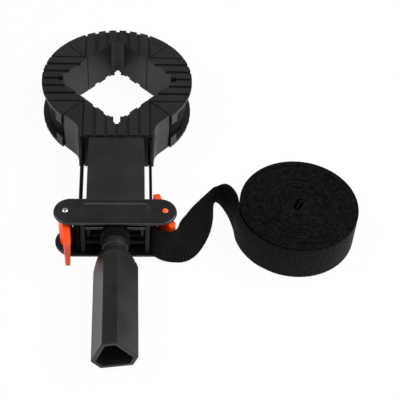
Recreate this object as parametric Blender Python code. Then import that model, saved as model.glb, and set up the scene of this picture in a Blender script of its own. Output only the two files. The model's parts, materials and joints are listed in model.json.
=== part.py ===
"""Frame clamp: a ring of four corner jaws held by a webbing band, a screw handle that
tightens the band, and the band's spare length wound into a coil. Metres, +Z up.

The clamp lies flat. Its axis runs along Y, the ring of jaws towards +Y and the handle
towards -Y. The origin is on the surface that it lies on, in the middle of the clamp.
"""

import math

import bmesh
import bpy
import numpy as np
from mathutils import Matrix

# Ring of jaws
RING_RADIUS = 0.0512
FLANGE = 0.0022  # top and bottom flange of each jaw, above and below the band
CHANNEL_RADIUS = 0.0462  # floor of the band's channel
NOTCH_REACH = 0.0412  # ring centre to the corner that the two faces of a notch would make
NOTCH_FLAT = 0.0368  # ring centre to the flat ledges that blunt that corner
SEAM_GAP = 0.0006  # between two neighbouring jaws
GROOVE_PITCH = 0.00735
GROOVE_WIDTH = 0.0024
EDGE_GROOVE_WIDTH = 0.0011  # the outermost groove on each side
GROOVE_DEPTH = 0.0015
GROOVES_EACH_SIDE = 3
LUG_ARC = 6.5  # degrees along the rim
LUG_THICK = 0.0018
LUG_HEIGHT = 0.0066

# Webbing
BAND_WIDTH = 0.025
BAND_THICK = 0.0012
BAND_CLEAR = 0.0003  # above and below the band, to each flange
BAND_END_INSET = 0.001  # from the yoke's front to the band's fixed end
GUIDE_RADIUS = 0.015  # bend of the band inside the fixed jaw
GUIDE_WALL = 0.0016
GUIDE_CLEAR = 0.0005
COIL_CENTRE = (0.1148, -0.0267)
COIL_RADIUS = 0.0373

# Fixed jaw and neck
JAW_FRONT = 0.054  # ring centre to the fixed jaw's front face
RELIEF_WIDTH = 0.0044  # slot between the ledges
RELIEF_REACH = 0.0402  # ring centre to the slot's end in a loose jaw
FIXED_RELIEF_REACH = 0.0422  # the same in the fixed jaw
NECK_WIDTH = 0.0364
NECK_WALL = 0.0028
NECK_ROOF = 0.0025
ROOF_SHORT = 0.0028  # end of the neck's roof to the line through the two pivot pins
RAIL_PAST = 0.0035  # that line to the end of the neck's side rails
SOCKET_DEPTH = 0.004
COVER_THICK = 0.0021
NUT_LENGTH = 0.010
NUT_TRAVEL = 0.0148  # nut to the pins' line, which leaves the nose its travel

# Yoke
YOKE_REACH = 0.1208  # ring centre to the line through the two pivot pins
PLATE_END = 0.0072  # pin to the plate's end
PLATE_RADIUS = 0.0104
BOTTOM_PLATE_RADIUS = 0.0118
PLATE_THICK = 0.0019
PLATE_CLEAR = 0.0003  # band's lower edge to the bottom plate
TOP_CLEAR = 0.0017  # band's upper edge to the top plate
BEAD_RISE = 0.0009
BOTTOM_BEAD_RISE = 0.0003
BEAD_RADIUS = 0.0066
BEAD_END = 0.0092  # pin to the bead's end
BEAD_SLOPE = 0.0018
WALL_THICK = 0.0026
WALL_CLEAR = 0.0004  # on each side of a side wall, to the neck and to the band
WALL_BEHIND = 0.0098  # pins' line to each end of a side wall
WALL_AHEAD = 0.0098
POST_CLEAR = 0.0008  # band to the spacer post beside it
POST_WIDTH = 0.0022
POST_BEHIND = 0.0096  # pins' line to the back of the posts
POST_LENGTH = 0.004
BLOCK_HALF_WIDTH = 0.009
BLOCK_CLEAR = 0.0010  # bearing block to each plate
BLOCK_LENGTH = 0.0116
CROSS_PIN_RADIUS = 0.0015
CROSS_PIN_AHEAD = 0.0055  # pins' line to the cross pins
CROSS_PIN_WALL = 0.0005  # left between a cross pin's hole and the spindle's bore

# Levers and their pins
PIN_OFFSET = 0.0084  # middle of the band's run to each pin
PIN_RADIUS = 0.0014
PIN_HEAD_RADIUS = 0.0019
PIN_HEAD_RISE = 0.0009
BUSH_WALL = 0.0012
LEVER_HUB = 0.0041
LEVER_TAB = 0.0213
LEVER_TAB_WIDTH = 0.0036
LEVER_FOOT = 0.65  # width of the tab along its lower edge, to that along its upper edge
LEVER_ROOT_WIDTH = 0.0042
LEVER_HEEL = 0.0082
LEVER_HEEL_RADIUS = 0.0025
LEVER_HEEL_TURN = 14.0  # degrees from the tab's line to the heel
LEVER_DROP = 0.0036
LEFT_LEVER_TURN = 5.0
RIGHT_LEVER_TURN = 194.5

# Handle and spindle
SPINDLE_RADIUS = 0.004
SPINDLE_PAST = 0.006  # nut to the spindle's tip
SPINDLE_HOLD = 0.017  # length of the spindle inside the grip
CLIP_RADIUS = 0.007
CLIP_THICK = 0.0009
WASHER_RADIUS = 0.0085
WASHER_THICK = 0.001
COLLAR_RADIUS = 0.008
COLLAR_NECK = 0.0074
HANDLE_REACH = 0.2166
SHOULDER_START = 0.0085  # collar's face to where the shoulder starts to widen
SHOULDER_LENGTH = 0.0140
GRIP_LONG_FACE = 0.0106  # axis to each wide face
GRIP_SHORT_FACE = 0.0136  # axis to each narrow face
GRIP_TURN = 10.0  # degrees about the axis, as it was last left
GRIP_WALL = 0.0025
GRIP_FLOOR = 0.025  # collar's face to the floor of the hollow
CORNER_SHARPNESS = 60
CORNER_STEP = 3.0  # degrees from each corner of the grip to the points that round it

FIT = 0.0003  # between pieces that touch
RUNNING = 0.0003  # round a shaft that turns
ROUND = 24  # sides of small round pieces
RING_STEPS = 16  # sides of one jaw's rim

RING_Y = (HANDLE_REACH - RING_RADIUS) / 2
YOKE_Y = RING_Y - YOKE_REACH
BAND_LOW = FLANGE + BAND_CLEAR
BAND_HIGH = BAND_LOW + BAND_WIDTH
RING_HEIGHT = BAND_HIGH + BAND_CLEAR + FLANGE
AXIS_Z = RING_HEIGHT / 2
BAND_RADIUS = CHANNEL_RADIUS + FIT + BAND_THICK / 2
PLATE_LOW = BAND_LOW - PLATE_CLEAR - PLATE_THICK  # outer face of the bottom plate
PLATE_HIGH = BAND_HIGH + TOP_CLEAR  # inner face of the top plate
NECK_BOTTOM = PLATE_LOW + PLATE_THICK + FIT
NECK_TOP = BAND_HIGH + FIT
WALL_INNER = NECK_WIDTH / 2 + WALL_CLEAR
WALL_OUTER = WALL_INNER + WALL_THICK
RUN_X = WALL_OUTER + WALL_CLEAR + BAND_THICK / 2  # middle of each straight run of the band
PIN_X = RUN_X + PIN_OFFSET
NECK_END = YOKE_REACH - ROOF_SHORT
RAIL_END = YOKE_REACH + RAIL_PAST
NUT_END = YOKE_REACH - NUT_TRAVEL
SPINDLE_TIP = NUT_END - NUT_LENGTH - SPINDLE_PAST
WALL_BACK = YOKE_REACH - WALL_BEHIND
WALL_FRONT = YOKE_REACH + WALL_AHEAD
BLOCK_FRONT = YOKE_REACH + PLATE_RADIUS
BLOCK_BACK = BLOCK_FRONT - BLOCK_LENGTH
CROSS_PIN_REACH = YOKE_REACH + CROSS_PIN_AHEAD
COLLAR_FACE = BLOCK_FRONT + FIT + WASHER_THICK + FIT
PLATE_HALF_LENGTH = PIN_X + PLATE_END
CROSS_PIN_RISE = SPINDLE_RADIUS + RUNNING + CROSS_PIN_WALL + CROSS_PIN_RADIUS + FIT
BEYOND = 0.002  # a cutter's reach past the face that it goes through

# The free band from the yoke to the coil: its lower edge, and how far its upper edge stands off
# from it in x and y, chosen by hand and read as a smooth curve.
TAIL = [
    (0.0222, -0.0409, 0.0025, 0.0000, 0.0000),
    (0.0223, -0.0452, 0.0025, 0.0001, 0.0000),
    (0.0238, -0.0496, 0.0025, 0.0012, 0.0003),
    (0.0278, -0.0522, 0.0016, 0.0018, 0.0012),
    (0.0325, -0.0534, 0.0008, 0.0019, 0.0030),
    (0.0370, -0.0538, 0.0005, 0.0012, 0.0076),
    (0.0411, -0.0539, 0.0005, -0.0018, 0.0117),
    (0.0452, -0.0525, 0.0005, -0.0056, 0.0122),
    (0.0488, -0.0499, 0.0005, -0.0089, 0.0110),
    (0.0518, -0.0465, 0.0005, -0.0111, 0.0093),
    (0.0542, -0.0427, 0.0005, -0.0124, 0.0075),
    (0.0563, -0.0388, 0.0005, -0.0127, 0.0059),
    (0.0581, -0.0348, 0.0005, -0.0124, 0.0048),
    (0.0596, -0.0307, 0.0005, -0.0114, 0.0038),
    (0.0608, -0.0264, 0.0005, -0.0096, 0.0024),
    (0.0617, -0.0221, 0.0005, -0.0074, 0.0011),
    (0.0623, -0.0177, 0.0005, -0.0049, -0.0003),
    (0.0626, -0.0133, 0.0005, -0.0025, -0.0018),
    (0.0628, -0.0089, 0.0005, -0.0004, -0.0037),
    (0.0633, -0.0050, 0.0005, 0.0001, -0.0067),
    (0.0648, -0.0029, 0.0005, -0.0002, -0.0081),
    (0.0670, -0.0040, 0.0005, -0.0006, -0.0062),
    (0.0690, -0.0070, 0.0005, -0.0008, -0.0029),
    (0.0706, -0.0102, 0.0005, 0.0003, -0.0003),
    (0.0723, -0.0141, 0.0005, 0.0015, 0.0006),
    (0.0737, -0.0184, 0.0005, 0.0020, 0.0008),
    (0.0748, -0.0227, 0.0004, 0.0018, 0.0008),
    (0.0757, -0.0270, 0.0003, 0.0011, 0.0006),
    (0.0762, -0.0312, 0.0001, 0.0004, 0.0002),
]
TAIL_WRAP = (192, 240, 0.0390, 0.0383)  # degrees and radii of its last stretch round the coil


def clear_scene():
    for thing in list(bpy.data.objects):
        bpy.data.objects.remove(thing, do_unlink=True)


def material(name, colour, roughness, metallic=0.0):
    made = bpy.data.materials.new(name)
    made.use_nodes = True
    shader = made.node_tree.nodes["Principled BSDF"]
    shader.inputs["Base Color"].default_value = (*colour, 1.0)
    shader.inputs["Roughness"].default_value = roughness
    shader.inputs["Metallic"].default_value = metallic
    return made


def add(name, mesh_data, mat, smooth=True):
    """A named object from a bmesh, with its faces turned outwards."""
    bmesh.ops.recalc_face_normals(mesh_data, faces=mesh_data.faces)
    mesh = bpy.data.meshes.new(name)
    mesh_data.to_mesh(mesh)
    mesh_data.free()
    thing = bpy.data.objects.new(name, mesh)
    bpy.context.scene.collection.objects.link(thing)
    if mat:
        mesh.materials.append(mat)
    if smooth:
        mesh.shade_smooth()
        mesh.set_sharp_from_angle(angle=math.radians(35))
    return thing


def stack(rings, closed=False):
    """A bmesh tube through rings of equally many points, capped at both ends unless closed."""
    body = bmesh.new()
    loops = [[body.verts.new(p) for p in ring] for ring in rings]
    pairs = list(zip(loops[:-1], loops[1:]))
    if closed:
        pairs.append((loops[-1], loops[0]))
    for low, high in pairs:
        for i in range(len(low)):
            j = (i + 1) % len(low)
            body.faces.new((low[i], low[j], high[j], high[i]))
    if not closed:
        body.faces.new(loops[0][::-1])
        body.faces.new(loops[-1])
    return body


def prism(outline, low, high):
    """An outline in the XY plane, extruded from one height to another."""
    return stack([[(x, y, z) for x, y in outline] for z in (low, high)])


def box(low, high):
    (x0, y0, z0), (x1, y1, z1) = low, high
    return prism([(x0, y0), (x1, y0), (x1, y1), (x0, y1)], z0, z1)


def arc(centre, radius, start, end, steps):
    turns = [math.radians(start + (end - start) * i / steps) for i in range(steps + 1)]
    return [(centre[0] + radius * math.cos(a), centre[1] + radius * math.sin(a)) for a in turns]


def turned(profile, axis, centre, steps=ROUND):
    """A round piece: (distance along the axis, radius) pairs turned about an X, Y or Z axis."""
    rings = []
    for along, radius in profile:
        ring = []
        for i in range(steps):
            a = 2 * math.pi * i / steps
            u, v = radius * math.cos(a), radius * math.sin(a)
            ring.append({
                "X": (along, centre[0] + u, centre[1] + v),
                "Y": (centre[0] + v, along, centre[1] + u),
                "Z": (centre[0] + u, centre[1] + v, along),
            }[axis])
        rings.append(ring)
    return stack(rings)


def washer(low, high, inner, outer, axis, centre):
    """A flat ring about an axis."""
    profile = [(low, inner), (low, outer), (high, outer), (high, inner)]
    rings = []
    for i in range(ROUND):
        a = 2 * math.pi * i / ROUND
        c, s = math.cos(a), math.sin(a)
        if axis == "Y":
            rings.append([(centre[0] + r * s, t, centre[1] + r * c) for t, r in profile])
        else:
            rings.append([(centre[0] + r * c, centre[1] + r * s, t) for t, r in profile])
    return stack(rings, closed=True)


def boolean(thing, other_mesh, name, operation="DIFFERENCE"):
    """Cuts or joins another shape with the EXACT solver, and hides that shape."""
    other = add(name, other_mesh, None, smooth=False)
    other.hide_render = True
    other.display_type = "WIRE"
    step = thing.modifiers.new(name, "BOOLEAN")
    step.operation = operation
    step.object = other
    step.solver = "EXACT"
    return other


def turn_about(body, centre, degrees):
    """Turns a bmesh about a vertical line."""
    a = math.radians(degrees)
    for v in body.verts:
        x, y = v.co.x - centre[0], v.co.y - centre[1]
        v.co.x = centre[0] + x * math.cos(a) - y * math.sin(a)
        v.co.y = centre[1] + x * math.sin(a) + y * math.cos(a)
    return body


def join_meshes(parts):
    """Several separate bmesh bodies as one."""
    whole = bmesh.new()
    for part in parts:
        spots = [whole.verts.new(v.co) for v in part.verts]
        part.verts.index_update()
        for face in part.faces:
            whole.faces.new([spots[v.index] for v in face.verts])
        part.free()
    return whole


def at_ring(body, degrees):
    """Moves a piece drawn about the ring's centre, outwards along +Y, to its place."""
    turn_about(body, (0, 0), degrees)
    for v in body.verts:
        v.co.y += RING_Y
    return body


def notch_corners(reach):
    """The inner edge of a jaw, from its right seam to its left one, outwards along +Y, with a
    relief slot in its corner."""
    lap = SEAM_GAP / math.sqrt(2)
    side, deep = (NOTCH_REACH - lap) / 2, (NOTCH_REACH + lap) / 2
    blunt, slot = NOTCH_REACH - NOTCH_FLAT, RELIEF_WIDTH / 2
    right = [(side, deep), (blunt, NOTCH_FLAT), (slot, NOTCH_FLAT), (slot, reach)]
    return right + mirrored(right[::-1])


def seam_angle(radius):
    """Where a seam face meets a circle, in degrees from +X."""
    lap = SEAM_GAP / math.sqrt(2)
    y = (lap + math.sqrt(2 * radius**2 - lap**2)) / 2
    return math.degrees(math.atan2(y, y - lap))


def groove_cutters(length):
    """Bars that press the parallel grooves into both faces of a jaw."""
    bars = []
    for k in range(-GROOVES_EACH_SIDE, GROOVES_EACH_SIDE + 1):
        x = k * GROOVE_PITCH
        half = (EDGE_GROOVE_WIDTH if abs(k) == GROOVES_EACH_SIDE else GROOVE_WIDTH) / 2
        for low, high in (
            (RING_HEIGHT - GROOVE_DEPTH, RING_HEIGHT + BEYOND),
            (-BEYOND, GROOVE_DEPTH),
        ):
            bars.append(box((x - half, 0, low), (x + half, length, high)))
    return join_meshes(bars)


def loose_jaw(name, degrees, mat):
    """A jaw of the band's loop: a notch inside, a channel for the band round the rim."""
    start = seam_angle(RING_RADIUS)
    rim = arc((0, 0), RING_RADIUS, 180 - start, start, RING_STEPS)
    jaw = add(name, at_ring(prism(notch_corners(RELIEF_REACH) + rim, 0, RING_HEIGHT), degrees), mat)
    far = RING_RADIUS * 1.1
    channel = arc((0, 0), CHANNEL_RADIUS, 138, 42, RING_STEPS) + arc((0, 0), far, 42, 138, 8)
    cutter = prism(channel, FLANGE, RING_HEIGHT - FLANGE)
    boolean(jaw, at_ring(cutter, degrees), name + "_channel")
    boolean(jaw, at_ring(groove_cutters(far), degrees), name + "_grooves")
    lugs = []
    for first in (start + 0.6, 180 - start - 0.6 - LUG_ARC):
        inner = RING_RADIUS - LUG_THICK
        outline = arc((0, 0), inner, first, first + LUG_ARC, 3)
        outline += arc((0, 0), RING_RADIUS - 0.0001, first + LUG_ARC, first, 3)
        top = RING_HEIGHT - FLANGE
        lugs.append(prism(outline, top - LUG_HEIGHT, top + FLANGE / 4))
        lugs.append(prism(outline, FLANGE * 3 / 4, FLANGE + LUG_HEIGHT))
    boolean(jaw, at_ring(join_meshes(lugs), degrees), name + "_lugs", "UNION")
    return jaw


def guide_path(offset=0.0, before=0.0, after=0.0):
    """The band's way through the right half of the fixed jaw, outwards along +Y: straight on
    from the ring, round the guide and out beside the neck. A positive offset lies outside."""
    turn = GUIDE_RADIUS * (1 - math.cos(math.radians(45)))
    rise = GUIDE_RADIUS * math.sin(math.radians(45))
    corner_x = RUN_X + turn
    corner_y = 2 * BAND_RADIUS / math.sqrt(2) - corner_x
    centre = (RUN_X + GUIDE_RADIUS, corner_y + rise)
    start = BAND_RADIUS / math.sqrt(2)
    step = offset / math.sqrt(2)
    bend = arc(centre, GUIDE_RADIUS - offset, 225, 180, 5)
    first = (start + step + before / math.sqrt(2), start + step - before / math.sqrt(2))
    return [first, *bend, (RUN_X + offset, JAW_FRONT + after)]


def strip(path, half):
    """The outline of a line with width."""
    points = np.array(path)
    ahead = np.gradient(points, axis=0)
    ahead /= np.linalg.norm(ahead, axis=1)[:, None]
    side = np.stack([-ahead[:, 1], ahead[:, 0]], axis=1)
    left, right = points + side * half, points - side * half
    return [tuple(p) for p in left] + [tuple(p) for p in right[::-1]]


def mirrored(points):
    return [(-x, y) for x, y in points]


def fixed_jaw(mat):
    """The jaw on the neck, with two curved ways for the band inside its flanks."""
    outside = BAND_THICK / 2 + GUIDE_CLEAR + GUIDE_WALL
    flank = guide_path(outside)
    seam = sum(flank[0]) / 2 + SEAM_GAP / math.sqrt(2) / 2
    flank[0] = (seam - SEAM_GAP / math.sqrt(2), seam)
    outline = notch_corners(FIXED_RELIEF_REACH) + mirrored(flank) + flank[::-1]
    jaw = add("fixed_jaw", at_ring(prism(outline, 0, RING_HEIGHT), 180), mat)
    half = BAND_THICK / 2 + GUIDE_CLEAR
    for side, path in (("right", guide_path(0, 0.004, 0.003)), ("left", None)):
        path = path or mirrored(guide_path(0, 0.004, 0.003))
        way = prism(strip(path, half), FLANGE, RING_HEIGHT - FLANGE)
        boolean(jaw, at_ring(way, 180), "band_way_" + side)
    boolean(jaw, at_ring(groove_cutters(JAW_FRONT + BEYOND), 180), "fixed_jaw_grooves")
    wide = NECK_WIDTH / 2 + FIT
    socket = box(
        (-wide, JAW_FRONT - SOCKET_DEPTH - FIT, NECK_BOTTOM - FIT),
        (wide, JAW_FRONT + BEYOND, NECK_TOP + FIT),
    )
    boolean(jaw, at_ring(socket, 180), "neck_socket")


def neck(mat_shell, mat_cover, mat_nut):
    """The hollow neck that slides in the yoke, with the nut that the spindle turns in."""
    half = NECK_WIDTH / 2
    front = RING_Y - JAW_FRONT + SOCKET_DEPTH
    shell = add(
        "neck_shell",
        box((-half, RING_Y - RAIL_END, NECK_BOTTOM), (half, front, NECK_TOP)),
        mat_shell,
    )
    inside = half - NECK_WALL
    front_wall = front - NECK_WALL
    hollow = box(
        (-inside, RING_Y - RAIL_END - BEYOND, 0),
        (inside, front_wall, NECK_TOP - NECK_ROOF),
    )
    boolean(shell, hollow, "neck_hollow")
    rear = box(
        (-inside, RING_Y - RAIL_END - BEYOND, NECK_TOP - NECK_ROOF - BEYOND),
        (inside, RING_Y - NECK_END, NECK_TOP + BEYOND),
    )
    boolean(shell, rear, "neck_rear")
    fit = inside - FIT
    add(
        "neck_cover",
        box(
            (-fit, RING_Y - NECK_END, NECK_BOTTOM),
            (fit, front_wall - FIT, NECK_BOTTOM + COVER_THICK),
        ),
        mat_cover,
    )
    nut = add(
        "spindle_nut",
        box(
            (-fit, RING_Y - NUT_END, NECK_BOTTOM + COVER_THICK + FIT),
            (fit, RING_Y - NUT_END + NUT_LENGTH, NECK_TOP - NECK_ROOF - FIT),
        ),
        mat_nut,
    )
    bore = [(RING_Y - NUT_END - BEYOND, SPINDLE_RADIUS + RUNNING)]
    bore.append((RING_Y - NUT_END + NUT_LENGTH + BEYOND, SPINDLE_RADIUS + RUNNING))
    boolean(nut, turned(bore, "Y", (0, AXIS_Z)), "nut_bore")


def pill(half_length, radius, steps=10):
    """A rounded bar's outline about the yoke's middle."""
    x = half_length - radius
    right = arc((x, YOKE_Y), radius, -90, 90, steps)
    left = arc((-x, YOKE_Y), radius, 90, 270, steps)
    return right + left


def yoke_plate(name, low, outward, radius, mat):
    """A pressed plate with a raised bead along it, which stands out of the yoke."""
    edge = pill(PLATE_HALF_LENGTH, radius)
    bead = PIN_X - BEAD_END
    foot = pill(bead, BEAD_RADIUS)
    crest = pill(bead - BEAD_SLOPE, BEAD_RADIUS - BEAD_SLOPE)
    inner, outer = (low, low + PLATE_THICK) if outward > 0 else (low + PLATE_THICK, low)
    top = outer + BEAD_RISE if outward > 0 else outer - BOTTOM_BEAD_RISE
    layers = [(edge, inner), (edge, outer), (foot, outer), (crest, top)]
    plate = add(name, stack([[(x, y, z) for x, y in ring] for ring, z in layers]), mat)
    holes = []
    for x in (-PIN_X, PIN_X):
        reach = [(low - BEYOND, PIN_RADIUS + FIT), (low + PLATE_THICK + BEYOND, PIN_RADIUS + FIT)]
        holes.append(turned(reach, "Z", (x, YOKE_Y)))
    boolean(plate, join_meshes(holes), name + "_pin_holes")
    return plate


def cross_pin_bars(radius, reach):
    """The two bars across the yoke that carry the bearing block, above and below the axis."""
    bars = []
    for z in (AXIS_Z - CROSS_PIN_RISE, AXIS_Z + CROSS_PIN_RISE):
        spot = (RING_Y - CROSS_PIN_REACH, z)
        bars.append(turned([(-reach, radius), (reach, radius)], "X", spot, 16))
    return bars


def yoke(mat_plate, mat_frame, mat_steel):
    yoke_plate("yoke_top_plate", PLATE_HIGH, 1, PLATE_RADIUS, mat_plate)
    yoke_plate("yoke_bottom_plate", PLATE_LOW, -1, BOTTOM_PLATE_RADIUS, mat_plate)
    low, high = PLATE_LOW + PLATE_THICK + FIT, PLATE_HIGH - FIT
    for side, name in ((-1, "left_side_wall"), (1, "right_side_wall")):
        near, far = sorted((side * WALL_INNER, side * WALL_OUTER))
        wall = add(
            name,
            box((near, RING_Y - WALL_FRONT, low), (far, RING_Y - WALL_BACK, high)),
            mat_frame,
        )
        holes = cross_pin_bars(CROSS_PIN_RADIUS + FIT, WALL_OUTER + BEYOND)
        boolean(wall, join_meshes(holes), name + "_pin_holes")
    inner, back = RUN_X + BAND_THICK / 2 + POST_CLEAR, YOKE_Y + POST_BEHIND
    for side, name in ((-1, "left_spacer_post"), (1, "right_spacer_post")):
        near, far = sorted((side * inner, side * (inner + POST_WIDTH)))
        add(name, box((near, back - POST_LENGTH, low), (far, back, high)), mat_frame)
    shoulder = AXIS_Z - (PLATE_LOW + PLATE_THICK + BLOCK_CLEAR) - BLOCK_HALF_WIDTH
    face = arc((0, AXIS_Z + shoulder), BLOCK_HALF_WIDTH, 0, 180, 12)
    face += arc((0, AXIS_Z - shoulder), BLOCK_HALF_WIDTH, 180, 360, 12)
    body = stack([[(x, RING_Y - y, z) for x, z in face] for y in (BLOCK_BACK, BLOCK_FRONT)])
    block = add("bearing_block", body, mat_frame)
    bore = [(RING_Y - BLOCK_FRONT - BEYOND, SPINDLE_RADIUS + RUNNING)]
    bore.append((RING_Y - BLOCK_BACK + BEYOND, SPINDLE_RADIUS + RUNNING))
    boolean(block, turned(bore, "Y", (0, AXIS_Z)), "block_bore")
    holes = cross_pin_bars(CROSS_PIN_RADIUS + FIT, BLOCK_HALF_WIDTH + BEYOND)
    boolean(block, join_meshes(holes), "block_pin_holes")
    lower, upper = cross_pin_bars(CROSS_PIN_RADIUS, WALL_OUTER)
    add("lower_cross_pin", lower, mat_steel)
    add("upper_cross_pin", upper, mat_steel)


def pivot_pin(name, x, mat):
    """A riveted pin through both plates, with a domed head above and a flush end below."""
    top = PLATE_HIGH + PLATE_THICK + FIT / 2
    r, head = PIN_RADIUS, PIN_HEAD_RADIUS
    profile = [(PLATE_LOW, r), (top, r), (top, head)]
    for turn in (25, 50, 75):
        a = math.radians(turn)
        profile.append((top + PIN_HEAD_RISE * math.sin(a), head * math.cos(a)))
    add(name, turned(profile, "Z", (x, YOKE_Y)), mat)


def lever(side, x, turn, mat_lever, mat_bush):
    """A release lever: a thumb tab on one side of its pin and a clamping heel on the other."""
    half = LEVER_ROOT_WIDTH / 2
    tip = LEVER_TAB_WIDTH / 2
    outline = [(-half, -LEVER_HUB), (-tip - 0.0006, -LEVER_TAB + 0.0015), (-tip, -LEVER_TAB)]
    outline += [(tip, -LEVER_TAB), (tip + 0.0004, -LEVER_TAB + 0.0015), (half, -LEVER_HUB)]
    outline += arc((0, 0), LEVER_HUB, -45, 35, 5)
    lean = math.radians(LEVER_HEEL_TURN)
    heel = (-LEVER_HEEL * math.sin(lean), LEVER_HEEL * math.cos(lean))
    outline += arc(heel, LEVER_HEEL_RADIUS, LEVER_HEEL_TURN, LEVER_HEEL_TURN + 180, 8)
    outline += arc((0, 0), LEVER_HUB, 145, 225, 5)
    body = prism(outline, BAND_LOW, BAND_HIGH)
    for v in body.verts:
        share = max(0.0, (-v.co.y - LEVER_HUB) / (LEVER_TAB - LEVER_HUB))
        drop = LEVER_DROP if v.co.z > AXIS_Z else -LEVER_DROP / 3
        if v.co.z < AXIS_Z:
            v.co.x *= 1 - (1 - LEVER_FOOT) * share
        v.co.z -= drop * share
        v.co.x += x
        v.co.y += YOKE_Y
    turn_about(body, (x, YOKE_Y), turn)
    made = add(side + "_release_lever", body, mat_lever)
    inner = PIN_RADIUS + RUNNING
    outer = inner + BUSH_WALL
    hole = turned([(0, outer + FIT / 3), (RING_HEIGHT, outer + FIT / 3)], "Z", (x, YOKE_Y))
    boolean(made, hole, side + "_lever_hole")
    low, high = BAND_LOW - 0.0001, BAND_HIGH + 0.0001
    add(side + "_lever_bush", washer(low, high, inner, outer, "Z", (x, YOKE_Y)), mat_bush)


def grip_angles():
    """Degrees from the middle of a wide face, for the points of one third of the outline:
    close together at the two corners, and a few along each face."""
    ratio = GRIP_SHORT_FACE / GRIP_LONG_FACE
    corner = math.degrees(math.atan((ratio - 0.5) / math.sin(math.radians(60))))
    half = [corner / 3, corner * 0.7, corner - CORNER_STEP, corner, corner + CORNER_STEP]
    return [-a for a in half[::-1]] + [0.0] + half + [60.0]


def grip_section(y, cone, inset=0.0):
    """The handle's outline: a triangle with cut corners inside a circle. Each face limits
    the radius to its distance over the cosine, the circle limits it too, and a power mean
    of all the limits rounds the corners."""
    ring = []
    for third in range(3):
        middle = -90 + 120 * third + GRIP_TURN
        for turn in grip_angles():
            a = math.radians(middle + turn)
            total = (1 / (cone - inset)) ** CORNER_SHARPNESS
            for k in range(6):
                face = math.radians(-90 + 60 * k + GRIP_TURN)
                far = (GRIP_LONG_FACE if k % 2 == 0 else GRIP_SHORT_FACE) - inset
                total += (max(math.cos(a - face), 0.0) / far) ** CORNER_SHARPNESS
            r = total ** (-1 / CORNER_SHARPNESS)
            ring.append((r * math.cos(a), RING_Y - y, AXIS_Z + r * math.sin(a)))
    return ring


def handle(mat_grip, mat_steel, mat_washer):
    """The hollow grip, the spindle it turns, and the clip and washer that hold the spindle."""
    collar = COLLAR_FACE
    edge = 0.0005
    rings = [grip_section(collar, COLLAR_RADIUS - edge)]
    rings.append(grip_section(collar + edge, COLLAR_RADIUS))
    for along, radius in (
        (0.0050, COLLAR_RADIUS),
        (0.0055, COLLAR_NECK),
        (0.0068, COLLAR_NECK),
        (0.0073, COLLAR_RADIUS),
    ):
        rings.append(grip_section(collar + along, radius))
    full = math.hypot(GRIP_LONG_FACE, GRIP_SHORT_FACE)
    for i in range(8):
        t = i / 7
        y = collar + SHOULDER_START + SHOULDER_LENGTH * t
        rings.append(grip_section(y, COLLAR_RADIUS + (full - COLLAR_RADIUS) * t))
    rings.append(grip_section(HANDLE_REACH - edge, full))
    rings.append(grip_section(HANDLE_REACH, full, edge))
    rings.append(grip_section(HANDLE_REACH, full, GRIP_WALL))
    rings.append(grip_section(collar + GRIP_FLOOR, full, GRIP_WALL))
    grip = add("handle_grip", stack(rings), mat_grip)
    end = RING_Y - collar - SPINDLE_HOLD
    bore = [(end - FIT, SPINDLE_RADIUS + FIT)]
    bore.append((RING_Y - collar + BEYOND, SPINDLE_RADIUS + FIT))
    boolean(grip, turned(bore, "Y", (0, AXIS_Z)), "grip_bore")
    chamfer = 0.0007
    spindle = [(end, SPINDLE_RADIUS), (RING_Y - SPINDLE_TIP - chamfer, SPINDLE_RADIUS)]
    spindle.append((RING_Y - SPINDLE_TIP, SPINDLE_RADIUS - chamfer))
    add("spindle_screw", turned(spindle, "Y", (0, AXIS_Z)), mat_steel)
    inner = SPINDLE_RADIUS + FIT
    clip_low = RING_Y - BLOCK_BACK + FIT
    clip = washer(clip_low, clip_low + CLIP_THICK, inner, CLIP_RADIUS, "Y", (0, AXIS_Z))
    add("spindle_clip", clip, mat_steel)
    face = RING_Y - BLOCK_FRONT - FIT
    thrust = washer(face - WASHER_THICK, face, inner, WASHER_RADIUS, "Y", (0, AXIS_Z))
    add("thrust_washer", thrust, mat_washer)


def ribbon(lower, upper):
    """A flat band between two edges, as thick as the webbing."""
    lower, upper = np.array(lower), np.array(upper)
    ahead = np.gradient((lower + upper) / 2, axis=0)
    face = np.cross(ahead, upper - lower)
    face *= BAND_THICK / 2 / np.linalg.norm(face, axis=1)[:, None]
    corners = (lower - face, lower + face, upper + face, upper - face)
    return stack([[tuple(c[i]) for c in corners] for i in range(len(lower))])


def upright(path, low=BAND_LOW, high=BAND_HIGH):
    """The webbing on edge along a level path."""
    return ribbon([(x, y, low) for x, y in path], [(x, y, high) for x, y in path])


def band_loop(name, degrees, extension, mat):
    """The webbing round one jaw. An extension runs straight on into the fixed jaw."""
    gap = math.degrees(FIT / 2 / BAND_RADIUS)
    path = arc((0, 0), BAND_RADIUS, 45 + gap, 135 - gap, 12)
    tangent = math.radians(45)
    if extension > 0:
        x, y = path[-1]
        path.append((x - extension * math.sin(tangent), y - extension * math.cos(tangent)))
    if extension < 0:
        x, y = path[0]
        path.insert(0, (x - extension * math.sin(tangent), y + extension * math.cos(tangent)))
    add(name, at_ring(upright(path), degrees), mat)


def smooth_through(points, steps):
    """A Catmull-Rom curve through points, in any number of dimensions."""
    p = np.array(points)
    p = np.vstack([2 * p[0] - p[1], p, 2 * p[-1] - p[-2]])
    out = []
    for i in range(1, len(p) - 2):
        for j in range(steps):
            t = j / steps
            out.append(0.5 * (2 * p[i] + (p[i + 1] - p[i - 1]) * t
                       + (2 * p[i - 1] - 5 * p[i] + 4 * p[i + 1] - p[i + 2]) * t**2
                       + (3 * p[i] - p[i - 1] - 3 * p[i + 1] + p[i + 2]) * t**3))
    out.append(p[-2])
    return np.array(out)


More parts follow.
